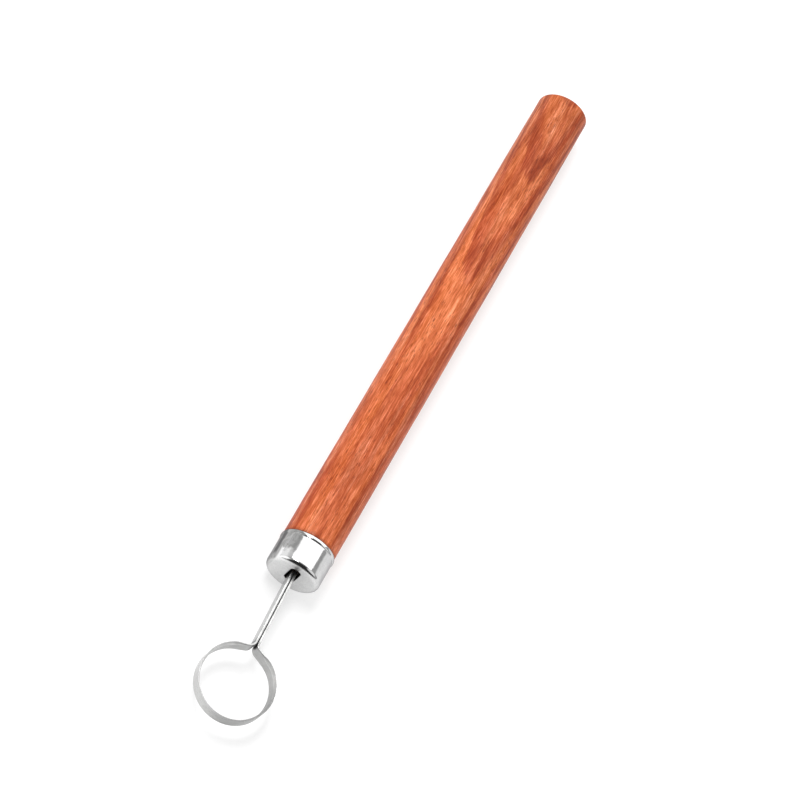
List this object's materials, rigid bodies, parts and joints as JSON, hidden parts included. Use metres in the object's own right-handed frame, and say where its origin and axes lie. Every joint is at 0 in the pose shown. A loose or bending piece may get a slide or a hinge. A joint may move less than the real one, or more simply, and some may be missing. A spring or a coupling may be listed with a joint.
{
  "type": "loop trimming tool",
  "caption": "Pottery trimming tool: a round loop of flat steel strip, held by a slotted steel ferrule on a straight round wooden handle.",
  "frame": {"origin": "centre of the flat butt face, on the handle's axis", "axes": "+X along the handle and out of the butt, so the loop lies towards -X; +Z square to the plane of the loop; +Y across the loop"},
  "size_m": [0.171, 0.0166, 0.0124],
  "materials": {
    "handle_wood": "reddish brown hardwood, satin clear lacquer, grain along the handle",
    "ferrule_chrome": "bright plated, faint draw marks",
    "blade_steel": "rolled spring steel strip, satin, edges bright",
    "tang_resin": "cured black resin, seen only through the slot"
  },
  "bodies": {
    "root": {"handle": "handle_wood", "ferrule": "ferrule_chrome", "loop_blade": "blade_steel", "tang_adhesive": "tang_resin"}
  },
  "joints": []
}
